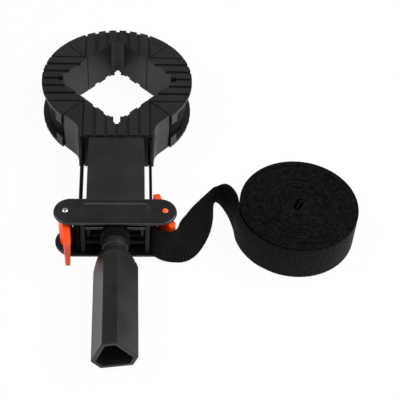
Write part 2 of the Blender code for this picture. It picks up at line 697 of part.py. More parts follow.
def tail_edges(steps=2):
    """The lower and upper edges of the free band: through the hand-chosen points, then
    round the coil. The upper edge is one band width from the lower one."""
    start, end, first, last = TAIL_WRAP
    points = list(TAIL)
    for i in range(7):
        t = i / 6
        a, r = math.radians(start + (end - start) * t), first + (last - first) * t
        x, y = (c + r * f(a) for c, f in zip(COIL_CENTRE, (math.cos, math.sin)))
        points.append((x, y, 0.0001, 0, 0))
    line = smooth_through(points, steps)
    lower, aside = line[:, :3], line[:, 3:]
    height = np.sqrt(BAND_WIDTH**2 - (aside**2).sum(axis=1))
    return lower, lower + np.column_stack([aside, height])


def webbing(mat):
    band_loop("far_band_loop", 0, 0, mat)
    hidden = 0.0085  # length of band that runs on inside the fixed jaw
    band_loop("left_band_loop", 90, hidden, mat)
    band_loop("right_band_loop", -90, -hidden, mat)
    bend = guide_path()[1:]
    add("right_band_bend", at_ring(upright(mirrored(bend)), 180), mat)
    add("left_band_bend", at_ring(upright(bend), 180), mat)
    front = RING_Y - JAW_FRONT - FIT
    stop = TAIL[0][1] + FIT
    add("right_band_run", upright([(RUN_X, front), (RUN_X, stop)]), mat)
    end = RING_Y - WALL_FRONT + BAND_END_INSET
    add("left_band_run", upright([(-RUN_X, front), (-RUN_X, end)]), mat)
    lower, upper = tail_edges()
    add("band_tail", ribbon(lower, upper), mat)
    low, high = 0.0, BAND_WIDTH
    hub = 0.0007
    profile = [(low, COIL_RADIUS - hub), (low + hub, COIL_RADIUS)]
    profile += [(high - hub, COIL_RADIUS), (high, COIL_RADIUS - hub)]
    add("band_coil", turned(profile, "Z", COIL_CENTRE, 64), mat)


def carry(name, place, pieces, carrier=None):
    """An empty on a joint's axis that carries pieces, and the shapes that cut them. A carrier
    is an empty that carries this one, with the place where that one stands."""
    pivot = bpy.data.objects.new(name, None)
    bpy.context.scene.collection.objects.link(pivot)
    pivot.empty_display_size = 0.01
    pivot.location = place
    if carrier:
        pivot.parent = carrier[0]
        pivot.matrix_parent_inverse = Matrix.Translation(carrier[1]).inverted()
    for piece in pieces:
        thing = bpy.data.objects[piece]
        for child in [thing] + [step.object for step in thing.modifiers]:
            child.parent = pivot
            child.matrix_parent_inverse = Matrix.Translation(place).inverted()
    return pivot, place


def joints():
    """The handle turns and pushes the nose out of the yoke. The jaws part at their seams,
    each one carried by its neighbour. The levers swing on their pins."""
    carry("handle_axis", (0, RING_Y - BLOCK_FRONT, AXIS_Z), [
        "handle_grip", "spindle_screw", "spindle_clip", "thrust_washer",
    ])
    nose = carry("nose_slide", (0, YOKE_Y, AXIS_Z), [
        "fixed_jaw", "neck_shell", "neck_cover", "spindle_nut", "left_band_bend", "right_band_bend",
    ])
    seam = RING_RADIUS / math.sqrt(2)
    middle = RING_HEIGHT / 2
    spot = (seam, RING_Y - seam, middle)
    right = carry("right_jaw_slide", spot, ["right_jaw", "right_band_loop"], nose)
    spot = (seam, RING_Y + seam, middle)
    far = carry("far_jaw_slide", spot, ["far_jaw", "far_band_loop"], right)
    spot = (-seam, RING_Y + seam, middle)
    carry("left_jaw_slide", spot, ["left_jaw", "left_band_loop"], far)
    for side, x in (("left", -PIN_X), ("right", PIN_X)):
        pieces = [side + "_release_lever", side + "_lever_bush"]
        carry(side + "_lever_axis", (x, YOKE_Y, AXIS_Z), pieces)


def build():
    clear_scene()
    black = material("black_plastic", (0.016, 0.016, 0.017), 0.38)
    shell = material("smooth_black_plastic", (0.014, 0.014, 0.015), 0.45)
    painted = material("black_painted_steel", (0.014, 0.014, 0.016), 0.3, 0.4)
    steel = material("bright_steel", (0.6, 0.6, 0.6), 0.25, 1.0)
    orange = material("orange_plastic", (0.9, 0.1, 0.02), 0.35)
    brass = material("brass", (0.7, 0.5, 0.2), 0.3, 1.0)
    band = material("black_webbing", (0.012, 0.012, 0.013), 0.85)
    loose_jaw("far_jaw", 0, black)
    loose_jaw("left_jaw", 90, black)
    loose_jaw("right_jaw", -90, black)
    fixed_jaw(black)
    neck(shell, shell, brass)
    yoke(painted, black, steel)
    pivot_pin("left_pivot_pin", -PIN_X, steel)
    pivot_pin("right_pivot_pin", PIN_X, orange)
    lever("left", -PIN_X, LEFT_LEVER_TURN, orange, steel)
    lever("right", PIN_X, RIGHT_LEVER_TURN, orange, steel)
    handle(black, steel, steel)
    webbing(band)
    joints()


build()
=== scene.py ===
# %% [markdown]
# # A band frame clamp
# The clamp lies flat: four black corner jaws in a ring, a smooth neck, a yoke with two orange
# levers, a hollow three-sided handle, and about 4 m of black webbing with its spare end wound up.
# The frame holds the solids that move. This file gives each of them its visible surface.

# %% Load the frame
import json
import math

import bmesh
import bpy
import numpy as np
from mathutils import Matrix, Vector


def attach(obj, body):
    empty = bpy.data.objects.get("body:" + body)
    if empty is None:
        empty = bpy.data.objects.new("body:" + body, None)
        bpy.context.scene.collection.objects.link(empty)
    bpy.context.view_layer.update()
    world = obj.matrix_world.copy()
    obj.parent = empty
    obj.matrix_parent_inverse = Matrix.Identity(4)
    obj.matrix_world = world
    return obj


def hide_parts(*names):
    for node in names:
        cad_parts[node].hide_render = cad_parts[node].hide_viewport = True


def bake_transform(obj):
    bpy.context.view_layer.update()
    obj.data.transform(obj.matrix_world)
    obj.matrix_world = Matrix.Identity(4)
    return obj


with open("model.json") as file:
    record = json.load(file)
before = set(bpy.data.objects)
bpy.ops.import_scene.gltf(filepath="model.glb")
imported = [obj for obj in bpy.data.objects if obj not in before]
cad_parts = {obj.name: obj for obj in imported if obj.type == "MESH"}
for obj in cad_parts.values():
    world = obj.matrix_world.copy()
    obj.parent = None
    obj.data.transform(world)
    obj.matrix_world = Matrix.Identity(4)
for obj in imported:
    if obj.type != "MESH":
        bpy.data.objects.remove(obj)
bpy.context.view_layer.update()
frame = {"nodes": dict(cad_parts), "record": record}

# %% [markdown]
# ## The camera
# It stands in front of the handle and looks down at about 48 degrees, a little from the left,
# with a long lens, so that the ring and the handle keep nearly the same scale. Its place, its
# turn and its lens were fitted to points of the ring, the neck, the yoke and the coil in the
# photograph, because a camera that is set by eye leaves every size in doubt.

# %% Camera
ELEVATION, YAW, ROLL = (math.radians(a) for a in (48.064, -5.655, 4.58))
LENS = 102.05
CAMERA_PLACE = (0.005948, -0.496237, 0.553937)


def camera_axes():
    """Right, up and back of the camera: back points from the target to the lens, and the
    roll turns right and up about it."""
    back = np.array([math.sin(YAW) * math.cos(ELEVATION), -math.cos(YAW) * math.cos(ELEVATION),
                     math.sin(ELEVATION)])
    right = np.array([math.cos(YAW), math.sin(YAW), 0])
    up = np.cross(back, right)
    c, s = math.cos(ROLL), math.sin(ROLL)
    return c * right + s * up, c * up - s * right, back


camera = bpy.data.objects.new("camera", bpy.data.cameras.new("camera"))
bpy.context.scene.collection.objects.link(camera)
camera.data.lens = LENS
camera.data.sensor_width = 36
axes = camera_axes()
turned = [(*(float(axis[i]) for axis in axes), CAMERA_PLACE[i]) for i in range(3)]
camera.matrix_world = Matrix([*turned, (0, 0, 0, 1)])
bpy.context.scene.camera = camera
print("camera at", CAMERA_PLACE)

# %% [markdown]
# ## Shader maths
# A wire is one output of a node. Written in a sum or a product it adds the Math node that
# works it out, so that a pattern reads like its formula. The same nodes could be wired one by
# one, but then the formula is hard to find again.


# %% A wire
class Wire:
    """One output of a node in a finish, which takes part in sums and products."""

    def __init__(self, finish, socket):
        self.finish, self.socket = finish, socket

    def math(self, operation, *values):
        return self.finish.node("Math", {"operation": operation}, dict(enumerate(values)))

    def __add__(self, other):
        return self.math("ADD", self, other)

    def __sub__(self, other):
        return self.math("SUBTRACT", self, other)

    def __rsub__(self, other):
        return self.math("SUBTRACT", other, self)

    def __mul__(self, other):
        return self.math("MULTIPLY", self, other)

    def sine(self):
        return self.math("SINE", self)

    __radd__, __rmul__ = __add__, __mul__


# %% A finish
class Finish:
    """A material with its Principled shader, and the nodes that vary it."""

    def __init__(self, name, **constants):
        self.material = bpy.data.materials.new(name)
        self.material.use_nodes = True
        self.tree = self.material.node_tree
        self.shader = self.tree.nodes["Principled BSDF"]
        self.set(self.shader, {k.replace("_", " "): v for k, v in constants.items()})

    def set(self, node, values):
        for key, value in values.items():
            socket = node.inputs[key]
            if isinstance(value, Wire):
                self.tree.links.new(value.socket, socket)
            elif isinstance(value, tuple) and len(value) == 3 and socket.type == "RGBA":
                socket.default_value = (*value, 1.0)
            else:
                socket.default_value = value

    def node(self, kind, settings=None, values=None, output=0):
        """Adds a node: its settings first, then the values or wires of its inputs."""
        made = self.tree.nodes.new("ShaderNode" + kind)
        for key, value in (settings or {}).items():
            setattr(made, key, value)
        self.set(made, values or {})
        return Wire(self, made.outputs[output])

    def ramp(self, factor, stops):
        """A colour ramp between two stops, each a place and a colour."""
        made = self.tree.nodes.new("ShaderNodeValToRGB")
        for element, (place, colour) in zip(made.color_ramp.elements, stops):
            element.position = place
            element.color = (*colour, 1)
        self.set(made, {"Fac": factor})
        return Wire(self, made.outputs["Color"])

    def noise(self, place, scale, detail):
        """Smooth noise from about 0 to 1, with scale waves to the metre."""
        return self.node("TexNoise", values={"Vector": place, "Scale": scale, "Detail": detail})

    def bump(self, height, strength, depth=0.001):
        """A bump from a height, of which 1 stands for the depth in metres."""
        return self.node("Bump", values={"Height": height, "Strength": strength, "Distance": depth})

    def shade(self, **inputs):
        """Feeds the Principled shader."""
        self.set(self.shader, {k.replace("_", " "): v for k, v in inputs.items()})


# %% [markdown]
# ## Finishes
# Moulded plastic is never quite even: it has a fine texture from the mould, slow waves where it
# shrank, and a little dust. The jaws are satin, the neck is smoother, and the plates are
# painted steel. A picture of plastic would need every part unfolded. Noise in the part's own
# coordinates needs nothing of the kind, and it stays on the part as it moves.


# %% Moulded plastic and paint
# Where the clouds of colour start and end, and how many waves they have to the metre
CLOUD_LOW, CLOUD_HIGH, CLOUD_SCALE = 0.3, 0.7, 45.0
# The darkest and lightest clouds as shares of the plain colour, and what dust adds
DARKER, LIGHTER, DUST = 0.8, 1.35, 0.001
# The shrinking's slow waves to the metre, and how much the roughness changes with the clouds
WAVE_SCALE, PLASTIC_PATCHES = 70.0, 0.16


def moulded(name, colour, rough, grain, scale=900.0, level=0.5, wave=0.0):
    """Moulded plastic or paint: fine grain in the bump, cloudy roughness and colour."""
    finish = Finish(name, Specular_IOR_Level=level)
    spot = finish.node("TexCoord", output=3)
    fine = finish.noise(spot, scale, 3.0)
    cloud = finish.noise(spot, CLOUD_SCALE, 5.0)
    slow = finish.noise(spot, WAVE_SCALE, 1.0)
    low = tuple(c * DARKER for c in colour)
    high = tuple(c * LIGHTER + DUST for c in colour)
    finish.shade(Base_Color=finish.ramp(cloud, [(CLOUD_LOW, low), (CLOUD_HIGH, high)]))
    finish.shade(Roughness=cloud * PLASTIC_PATCHES + (rough - PLASTIC_PATCHES / 2),
                 Normal=finish.bump(fine * grain + slow * wave, 0.6))
    return finish


# %% Metal
METAL_DARKER, METAL_CLOUD_SCALE, METAL_PATCHES = 0.82, 120.0, 0.2
# Scratches are this many times finer across than along, and their depth is in millimetres
SCRATCH_STRETCH, SCRATCH_SCALE, SCRATCH_DEPTH = 12.0, 260.0, 0.03


def metal(name, colour, rough):
    """Plated steel or brass with fine scratches."""
    finish = Finish(name, Metallic=1.0)
    spot = finish.node("TexCoord", output=3)
    stretched = finish.node("Mapping", values={
        "Vector": spot, "Scale": (1.0, SCRATCH_STRETCH, SCRATCH_STRETCH)})
    fine = finish.noise(stretched, SCRATCH_SCALE, 4.0)
    cloud = finish.noise(spot, METAL_CLOUD_SCALE, 3.0)
    low = tuple(c * METAL_DARKER for c in colour)
    finish.shade(Base_Color=finish.ramp(cloud, [(CLOUD_LOW, low), (CLOUD_HIGH, colour)]))
    finish.shade(Roughness=cloud * METAL_PATCHES + (rough - METAL_PATCHES / 2),
                 Normal=finish.bump(fine * SCRATCH_DEPTH, 0.5))
    return finish


# %% The clamp's own finishes
jaw_plastic = moulded("jaw_plastic", (0.0075, 0.0075, 0.008), 0.4, grain=0.03, level=0.45,
                      wave=0.12)
neck_plastic = moulded("neck_plastic", (0.0085, 0.0085, 0.009), 0.45, grain=0.012, scale=1600,
                       level=0.45)
yoke_plastic = moulded("yoke_plastic", (0.006, 0.006, 0.006), 0.5, grain=0.02, level=0.2)
grip_plastic = moulded("grip_plastic", (0.012, 0.012, 0.0125), 0.33, grain=0.012, level=0.3,
                       wave=0.08)
plate_paint = moulded("plate_paint", (0.008, 0.008, 0.009), 0.24, grain=0.008, wave=0.06)
orange_plastic = moulded("orange_plastic", (0.8, 0.055, 0.006), 0.3, grain=0.01, level=0.45)
orange_paint = moulded("orange_paint", (0.75, 0.1, 0.02), 0.25, grain=0.01)
bright_steel = metal("bright_steel", (0.66, 0.66, 0.67), 0.26)
worn_steel = metal("worn_steel", (0.06, 0.06, 0.06), 0.3)
black_steel = moulded("black_steel", (0.006, 0.006, 0.006), 0.55, grain=0.01, level=0.12)
nut_brass = metal("nut_brass", (0.72, 0.5, 0.22), 0.32)
print("finishes", len(bpy.data.materials))

# %% [markdown]
# The webbing is woven: ribs 1.8 mm apart run across it, broken into short floats. Its mesh
# carries an attribute with the place along the band and across it, in metres, and a number that
# is 1 at its edges, so the weave follows every bend. A picture of webbing laid on the mesh would
# slide and stretch in the folds.

# %% Webbing
RIB = 0.0018
FLOAT = 0.0018
THREAD_WANDER = 0.0005
# Colours of the weave's valleys and crests: painted shade and painted highlight
VALLEY_SHADE = (0.0006, 0.0006, 0.0006)
CREST_HIGHLIGHT = (0.0092, 0.0085, 0.0087)


def webbing():
    """Cross ribs times rows of floats, as bump and as painted light: the colour is lighter on the
    crests and darker in the valleys. The edge of the band is loopy, so noise breaks it up there."""
    finish = Finish("webbing", Specular_IOR_Level=0.06)
    place = finish.node("Attribute", {"attribute_name": "weave"}, output=1)
    split = finish.tree.nodes.new("ShaderNodeSeparateXYZ")
    finish.set(split, {0: place})
    along, across, edge = (Wire(finish, split.outputs[i]) for i in range(3))
    spot = finish.node("TexCoord", output=3)
    fuzz = finish.noise(spot, 1500.0, 2.0)
    patch = finish.noise(spot, 380.0, 2.0)
    wander = (patch - 0.5) * THREAD_WANDER
    rib = ((along + wander) * (2 * math.pi / RIB)).sine()
    row = ((across + wander) * (2 * math.pi / FLOAT)).sine()
    weave = rib * 0.5 + rib * row * 0.35 + 0.5
    side = 1 - edge
    height = (weave * 0.8 + fuzz * 0.3) * side + (fuzz * 0.5 + patch * 1.6) * edge
    # Painted light: the weave makes the crests lighter and the valleys darker; the fuzz and the
    # edge's patches add random tone
    weave_light_and_fuzz = (weave * 0.75 + fuzz * 0.3 - 0.05) * side + (patch * 1.7 + fuzz * 0.4 - 0.7) * edge
    finish.shade(Base_Color=finish.ramp(weave_light_and_fuzz, [(0.1, VALLEY_SHADE), (0.85, CREST_HIGHLIGHT)]))
    finish.shade(Roughness=fuzz * 0.3 + 0.42, Normal=finish.bump(height, 1.0, 0.0008))
    return finish


web = webbing()

# %% [markdown]
# ## Surfaces from arrays
# A surface is a grid of points: rows of rings. The grid goes into the mesh as whole arrays,
# because a loop that adds one point after another is slow for a surface as long as the coil.


# %% Grids into meshes
def put_mesh(name, points, faces, finish, body=None):
    """A mesh object from an array of points and a list of faces."""
    mesh = bpy.data.meshes.new(name)
    mesh.from_pydata(points.tolist(), [], faces)
    mesh.materials.append(finish.material)
    mesh.validate()
    made = bpy.data.objects.new(name, mesh)
    bpy.context.scene.collection.objects.link(made)
    if body:
        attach(made, body)
    return made


def tube_faces(rows, columns, caps=True):
    """Quads of a grid that closes round its columns, capped at both ends or left open."""
    row, column = np.meshgrid(np.arange(rows - 1), np.arange(columns), indexing="ij")
    row, column = row.ravel(), column.ravel()
    here, ahead, beside = row * columns, (row + 1) * columns, (column + 1) % columns
    quads = np.stack([here + column, here + beside, ahead + beside, ahead + column], 1)
    faces = quads.tolist()
    if caps:
        faces.append(list(range(columns))[::-1])
        faces.append([(rows - 1) * columns + k for k in range(columns)])
    return faces


# %% Smooth faces, crisp edges
CRISP_ANGLE = math.radians(60)


def crisp(obj):
    """Smooth shading with sharp edges kept, and faces turned outwards."""
    bm = bmesh.new()
    bm.from_mesh(obj.data)
    bmesh.ops.recalc_face_normals(bm, faces=bm.faces)
    bm.to_mesh(obj.data)
    bm.free()
    obj.data.shade_smooth()
    obj.data.set_sharp_from_angle(angle=CRISP_ANGLE)


# %% [markdown]
# ## Rounded copies of the solids
# A moulding has no knife edges, and its small radii are what catches the light. The solids of
# the frame are exact but sharp, so each is copied, its loose triangles are merged, flat parts
# are joined into single faces, and a narrow bevel rounds every edge. They could be modelled a
# second time instead, but then the visible clamp and the solids that move would drift apart.


# %% Soften a solid
FLAT_ANGLE = math.radians(0.6)
SHARP_ANGLE = math.radians(28)
FLAT_WEIGHT = 80


def soften(node, name, finish, width, segments=2):
    """A rounded copy of one solid, which rides on its body and is shown in its place. The
    rounding has its width in metres."""
    mesh = frame["nodes"][node].data.copy()
    mesh.name = name
    bm = bmesh.new()
    bm.from_mesh(mesh)
    bmesh.ops.remove_doubles(bm, verts=bm.verts, dist=1e-6)
    bmesh.ops.dissolve_limit(bm, angle_limit=FLAT_ANGLE, verts=bm.verts, edges=bm.edges)
    bm.to_mesh(mesh)
    bm.free()
    mesh.materials.clear()
    mesh.materials.append(finish.material)
    made = bpy.data.objects.new(name, mesh)
    bpy.context.scene.collection.objects.link(made)
    mesh.shade_smooth()
    bevel = made.modifiers.new("rounded edges", "BEVEL")
    bevel.width = width
    bevel.segments = segments
    bevel.limit_method = "ANGLE"
    bevel.angle_limit = SHARP_ANGLE
    bevel.miter_outer = "MITER_ARC"
    even = made.modifiers.new("flat faces stay flat", "WEIGHTED_NORMAL")
    even.keep_sharp = True
    even.weight = FLAT_WEIGHT
    bodies = frame["record"]["behaviour"]["bodies"]
    body = next(b for b, nodes in bodies.items() if node in nodes)
    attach(made, body)
    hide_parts(node)


# %% Soften every moulding, pin and ring
for jaw in ("far_jaw", "left_jaw", "right_jaw", "fixed_jaw"):
    soften(jaw, jaw + "_moulding", jaw_plastic, 0.0003)
soften("neck_shell", "neck_moulding", neck_plastic, 0.0006, 3)
soften("neck_cover", "neck_cover_moulding", neck_plastic, 0.0003)
soften("spindle_nut", "spindle_nut_casting", nut_brass, 0.0004)
for side in ("left", "right"):
    soften(side + "_side_wall", side + "_wall_moulding", yoke_plastic, 0.0004)
    soften(side + "_spacer_post", side + "_spacer_moulding", yoke_plastic, 0.0003)
    soften(side + "_lever_bush", side + "_bush_turning", bright_steel, 0.0001)
    soften(side + "_release_lever", side + "_lever_moulding", orange_plastic,
           0.0006, 3)
soften("bearing_block", "bearing_block_moulding", yoke_plastic, 0.0005)
soften("lower_cross_pin", "lower_cross_pin_rod", black_steel, 0.0003)
soften("upper_cross_pin", "upper_cross_pin_rod", worn_steel, 0.0003)
soften("left_pivot_pin", "left_rivet", bright_steel, 0.0001)
soften("right_pivot_pin", "right_rivet", orange_paint, 0.0001)
soften("spindle_screw", "spindle_rod", worn_steel, 0.0002)
soften("spindle_clip", "spindle_clip_ring", black_steel, 0.0001)
soften("thrust_washer", "thrust_washer_ring", black_steel, 0.0002)
soften("handle_grip", "grip_moulding", grip_plastic, 0.0003)

# %% [markdown]
# ## The two plates
# Each plate is pressed from sheet steel: its rim is rolled over, and a long bead stiffens its
# middle. Towards each pin the bead fades out in a shallow dish. A bevel can't give that slow
# change of slope, so the plate is one surface: closed loops of a pill shape, from the middle of
# one face out to the rim and back over the other, each point raised by a height that depends on
# its place.

# %% Plate sizes
PIN_X = 0.0306
YOKE_Y = -0.0381
PLATE_THICK = 0.0019
PLATE_HALF_LENGTH = 0.0378
ROLL_RADIUS = 0.0011
# Where the bead starts and ends falling off, from the middle outwards
BEAD_END, BEAD_SIDE = (0.0165, 0.0225), (0.0042, 0.0066)
DISH_X, DISH_LENGTH, DISH_WIDTH = 0.0222, 0.0036, 0.0042
PIN_RING, PIN_RING_WIDTH, PIN_RING_SHARE = 0.0035, 0.0011, 0.25
ARC_COUNT, SIDE_COUNT, INSIDE_COUNT = 32, 44, 22
print("plates", 2 * PLATE_HALF_LENGTH, "m long")


# %% Height and outline of a plate
def fade(value, low, high):
    """0 below low, 1 above high, and the smooth cubic between."""
    t = np.clip((value - low) / (high - low), 0, 1)
    return t * t * (3 - 2 * t)


def pill_loop(radius, middle):
    """A loop of points round a pill: two half circles about the ends of its middle line, joined
    by straight sides with the points closer together towards the ends."""
    a = np.radians(np.linspace(-90, 90, ARC_COUNT))
    side = middle * np.sin(np.radians(np.linspace(90, -90, SIDE_COUNT)))[1:-1]
    right = np.stack([middle + radius * np.cos(a), radius * np.sin(a)], 1)
    top = np.stack([side, np.full(len(side), radius)], 1)
    return np.concatenate([right, top, -right, -top])


def bead_height(x, y, rise, dish):
    """A plateau in the middle with soft flanks, less a shallow dish between it and each pin, and
    less a faint ring round the pin."""
    bead = (1 - fade(np.abs(x), *BEAD_END)) * (1 - fade(np.abs(y), *BEAD_SIDE))
    hollow = np.exp(-((np.abs(x) - DISH_X) / DISH_LENGTH) ** 2 - (y / DISH_WIDTH) ** 2)
    from_pin = np.hypot(np.abs(x) - PIN_X, y)
    ring = np.exp(-(((from_pin - PIN_RING) / PIN_RING_WIDTH) ** 2))
    return rise * bead - dish * hollow - PIN_RING_SHARE * dish * ring


# %% Two pressed plates
def plate(node, name, radius, inner, outward, rise, dish):
    """Loops from the middle of the inner face out to its rim, round the rim and back to the
    middle of the outer face."""
    middle = PLATE_HALF_LENGTH - radius
    roll = np.radians(np.linspace(0, 90, 6))
    # How far out each loop lies, as a share of the radius, and how high above the inner face
    reach = [0.0, 0.5, 0.93, 0.985, 1.0]
    level = [0.0, 0.0, 0.0, 0.0001, 0.0004]
    reach += list(1 - ROLL_RADIUS / radius * (1 - np.cos(roll)))
    level += list(PLATE_THICK - ROLL_RADIUS + ROLL_RADIUS * np.sin(roll))
    rim_top = len(reach) - 1
    reach = np.array(reach + list(np.linspace(0.86, 0, INSIDE_COUNT)))
    level = np.array(level + [PLATE_THICK] * INSIDE_COUNT)
    loops = np.array([pill_loop(max(r, 1e-5) * radius, middle) for r in reach])
    outer = np.arange(len(reach)) >= rim_top
    z = level[:, None] + outer[:, None] * bead_height(loops[:, :, 0], loops[:, :, 1], rise, dish)
    points = np.stack([loops[:, :, 0], loops[:, :, 1] + YOKE_Y, inner + outward * z], 2)
    faces = tube_faces(*points.shape[:2], caps=False)
    made = put_mesh(name, points.reshape(-1, 3), faces, plate_paint, "yoke")
    bm = bmesh.new()
    bm.from_mesh(made.data)
    bmesh.ops.remove_doubles(bm, verts=bm.verts, dist=1.5e-5)
    bmesh.ops.holes_fill(bm, edges=[e for e in bm.edges if e.is_boundary], sides=0)
    bm.to_mesh(made.data)
    bm.free()
    crisp(made)
    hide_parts(node)
    return made


upper_plate = plate("yoke_top_plate", "top_plate_pressing", radius=0.0104, inner=0.0292,
                    outward=1, rise=0.0009, dish=0.0008)
lower_plate = plate("yoke_bottom_plate", "bottom_plate_pressing", radius=0.0118, inner=0.0022,
                    outward=-1, rise=0.0003, dish=0.0002)
print("plates", [len(made.data.polygons) for made in (upper_plate, lower_plate)], "faces")

# %% [markdown]
# ## The webbing
# One band, 25 mm wide and 1.2 mm thick, goes from the yoke through the fixed jaw, round the
# three loose jaws, back through the fixed jaw and out of the yoke, over the surface and into
# the coil. A cloth simulation could lay it, but on the clamp the band is taut, so its way is
# known beforehand: straight lines and arcs. It is cut into stretches that cross one joint at
# most. A stretch on one body rides on it, and one that crosses a joint stays where it is laid.

# %% The band's own size, and its way round the ring
BAND_WIDTH = 0.025
BAND_THICK = 0.0012
BAND_LOW = 0.0025
RING_Y = 0.0827
LOOP_RADIUS = 0.0471
RUN_X = 0.0222
GUIDE_RADIUS = 0.015
YOKE_START = -0.0406
YOKE_LEFT_END = -0.0469
HEM_TOP = -0.0345
# A flat section with rounded edges: metres across the band, half thicknesses through it, and
# how far each point belongs to the loopy edge
ACROSS = np.array([0.0003, 0.0125, 0.0247, 0.0249, 0.0250, 0.0249,
                   0.0247, 0.0125, 0.0003, 0.0001, 0.0, 0.0001])
THROUGH = np.array([-1, -1, -1, -0.75, 0, 0.75, 1, 1, 1, 0.75, 0, -0.75])
EDGE = np.array([0.15, 0, 0.15, 1, 1, 1, 0.15, 0, 0.15, 1, 1, 1])
print("band", BAND_WIDTH, "m wide")


# %% Points along a line
def path_lengths(points):
    """Distance along a line of points."""
    return np.concatenate([[0], np.cumsum(np.linalg.norm(np.diff(points, axis=0), axis=1))])


def resample(points, spacing):
    """Points at even spacing along a line, by linear interpolation of its coordinates."""
    far = path_lengths(points)
    count = max(2, int(round(far[-1] / spacing)) + 1)
    at = np.linspace(0, far[-1], count)
    return np.stack([np.interp(at, far, points[:, k]) for k in range(points.shape[1])], 1)


# %% A woven strip
def strip(name, lower, upper):
    """A woven strip between two edges. Each point is the lower edge, plus its distance across
    the band towards the upper edge, plus its share of half the thickness along the normal."""
    ahead = np.gradient((lower + upper) / 2, axis=0)
    width = (upper - lower) / np.linalg.norm(upper - lower, axis=1)[:, None]
    normal = np.cross(ahead, width)
    normal /= np.linalg.norm(normal, axis=1)[:, None]
    points = (lower[:, None] + width[:, None] * ACROSS[:, None]
              + normal[:, None] * (THROUGH * BAND_THICK / 2)[:, None])
    rows, columns = points.shape[:2]
    made = put_mesh(name, points.reshape(-1, 3), tube_faces(rows, columns), web)
    crisp(made)
    weave = made.data.attributes.new("weave", "FLOAT_VECTOR", "POINT")
    along = np.repeat(path_lengths((lower + upper) / 2), columns)
    values = np.stack([along, np.tile(ACROSS, rows), np.tile(EDGE, rows)], 1)
    weave.data.foreach_set("vector", values.astype(np.float32).ravel())
    return made


# %% Arcs of the band's way
def arc_points(centre, radius, first, last, step=2.0):
    """Points on a circle from one angle to another, in degrees."""
    a = np.radians(np.linspace(first, last, max(2, int(abs(last - first) / step) + 1)))
    return np.stack([centre[0] + radius * np.cos(a), centre[1] + radius * np.sin(a)], 1)


def on_edge(path):
    """The lower and upper edge of a strip that stands on edge along a level path."""
    lower = np.column_stack([path, np.full(len(path), BAND_LOW)])
    return lower, lower + [0, 0, BAND_WIDTH]


COS_45 = math.sqrt(0.5)
ring = np.array([0, RING_Y])
seam_point = LOOP_RADIUS * COS_45
corner = RUN_X + GUIDE_RADIUS * (1 - COS_45)
guide_y = RING_Y - (2 * seam_point - corner) - GUIDE_RADIUS * COS_45
right_bend = arc_points((RUN_X + GUIDE_RADIUS, guide_y), GUIDE_RADIUS, 180, 135, 5)
left_bend = right_bend * [-1, 1]
print("guide centre y", guide_y)

# %% [markdown]
# ### From the yoke round the ring and back
# Each loose jaw lets its seam open, so the band is cut at the middle of each jaw, where it
# doesn't move on the jaw, and no piece crosses more than one joint. A band in one piece would
# have to follow five bodies at once.

# %% The stretches that the joints carry
ROW_SPACING = 0.0012


def stretch(name, path, bodies, nodes, span=None, spacing=ROW_SPACING):
    """One stretch of the band: it rides on one body, or stays where it is laid across a joint."""
    path = resample(np.asarray(path, float), spacing)
    made = strip(name, *on_edge(path))
    if span is None:
        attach(made, bodies)
    else:
        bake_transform(made)
    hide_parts(*nodes)
    length = path_lengths(path)[-1]
    return length


# %% Where a stretch turns from one jaw to the next
SEAM_REACH = 0.004


def seam_span(angle):
    """Two points just before and after a seam of the ring, along the band."""
    a = math.radians(angle)
    spot = np.array([LOOP_RADIUS * math.cos(a), RING_Y + LOOP_RADIUS * math.sin(a), 0])
    way = np.array([-math.sin(a), math.cos(a), 0]) * SEAM_REACH
    return tuple(spot - way), tuple(spot + way)


# %% [markdown]
# The loop passes the far side of the ring in quarter circles. The right run starts where the
# tail leaves off. The left run ends behind its pin, folded back on itself as a sewn hem is.

# %% Loop and runs
run_right = np.concatenate([[[RUN_X, YOKE_START]], right_bend])
into_right = np.concatenate([right_bend[-1:], arc_points(ring, LOOP_RADIUS, -45, 0)])
over_far = arc_points(ring, LOOP_RADIUS, 0, 90)
over_left = arc_points(ring, LOOP_RADIUS, 90, 180)
# How far the loop's end reaches past the left seam, so that it still bridges it when it opens
EXTENSION = 0.0085
leave = arc_points(ring, LOOP_RADIUS, 180, 225)
leave = np.concatenate([leave, leave[-1:] + [[EXTENSION * COS_45, -EXTENSION * COS_45]]])
# Half the distance between two layers of the hem, the spacing of its rows, and how far its end
# stops short of the first fold
FOLD, HEM_SPACING, HEM_SHORT = 0.00075, 0.0005, 0.002
fold_1 = arc_points((-RUN_X - FOLD, YOKE_LEFT_END + FOLD), FOLD, 360, 180, 30)
fold_2 = arc_points((-RUN_X - 3 * FOLD, HEM_TOP - FOLD), FOLD, 0, 180, 30)
hem_end = [[-RUN_X - 4 * FOLD, YOKE_LEFT_END + HEM_SHORT]]
run_left = np.concatenate([left_bend[::-1], fold_1, fold_2, hem_end])
bend_end = tuple(right_bend[-1]) + (0,)
seam_start = (seam_point, RING_Y - seam_point, 0)
neck_span = ((0, -0.022, 0), (0, 0.026, 0))
lengths = [
    stretch("right_run_band", run_right, ("yoke", "nose"),
            ("right_band_run", "right_band_bend"), neck_span),
    stretch("right_jaw_band", into_right, ("nose", "right_jaw_body"),
            ("right_band_loop",), (bend_end, seam_start)),
    stretch("far_jaw_band", over_far, ("right_jaw_body", "far_jaw_body"),
            ("far_band_loop",), seam_span(45)),
    stretch("left_jaw_band", over_left, ("far_jaw_body", "left_jaw_body"),
            ("left_band_loop",), seam_span(135)),
    stretch("left_jaw_end_band", leave, "left_jaw_body",
            ("left_band_loop",)),
    stretch("left_run_band", run_left, ("yoke", "nose"),
            ("left_band_run", "left_band_bend"), neck_span, HEM_SPACING),
]
print("band on the clamp:", round(sum(lengths), 3), "m")

# %% [markdown]
# ### The free end
# The spare band comes round the right side wall, falls over as it crosses the surface, stands
# up again in a tight fold and joins the coil. A simulated fall would come to rest in its own
# way, so the tail is a list of rows measured in the photograph, with a smooth curve through
# them. The coil is a spiral wound from the folded end, one turn every 1.23 mm, and its turns are
# never quite level.

